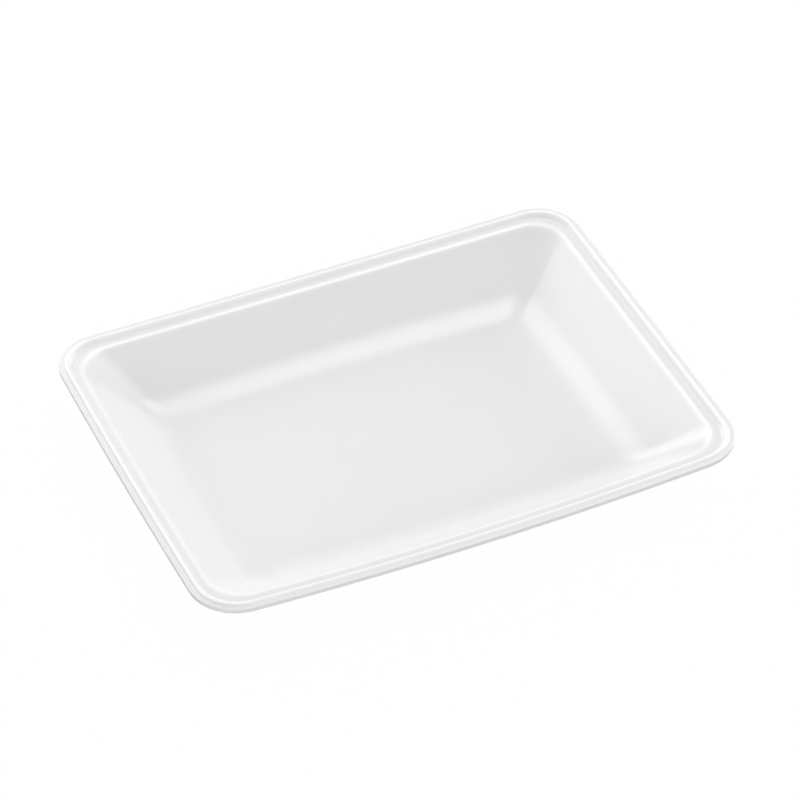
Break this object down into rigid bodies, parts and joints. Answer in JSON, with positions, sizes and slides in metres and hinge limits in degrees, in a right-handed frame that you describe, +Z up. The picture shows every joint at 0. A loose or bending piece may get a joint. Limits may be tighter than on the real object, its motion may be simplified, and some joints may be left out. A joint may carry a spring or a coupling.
{
  "type": "food tray",
  "caption": "Shallow rectangular foam food tray with rounded corners, sloping walls, a soft floor fillet and a flanged rim with a raised bead and an inner ledge.",
  "frame": {"origin": "centre of the flat base, at the height the tray stands on", "axes": "+Z up out of the tray, +X along the long side, +Y along the short side away from the front"},
  "size_m": [0.229, 0.1768, 0.0253],
  "materials": {
    "foam": "smooth skinned foam with a soft sheen"
  },
  "bodies": {
    "root": {"tray": "foam"}
  },
  "joints": []
}
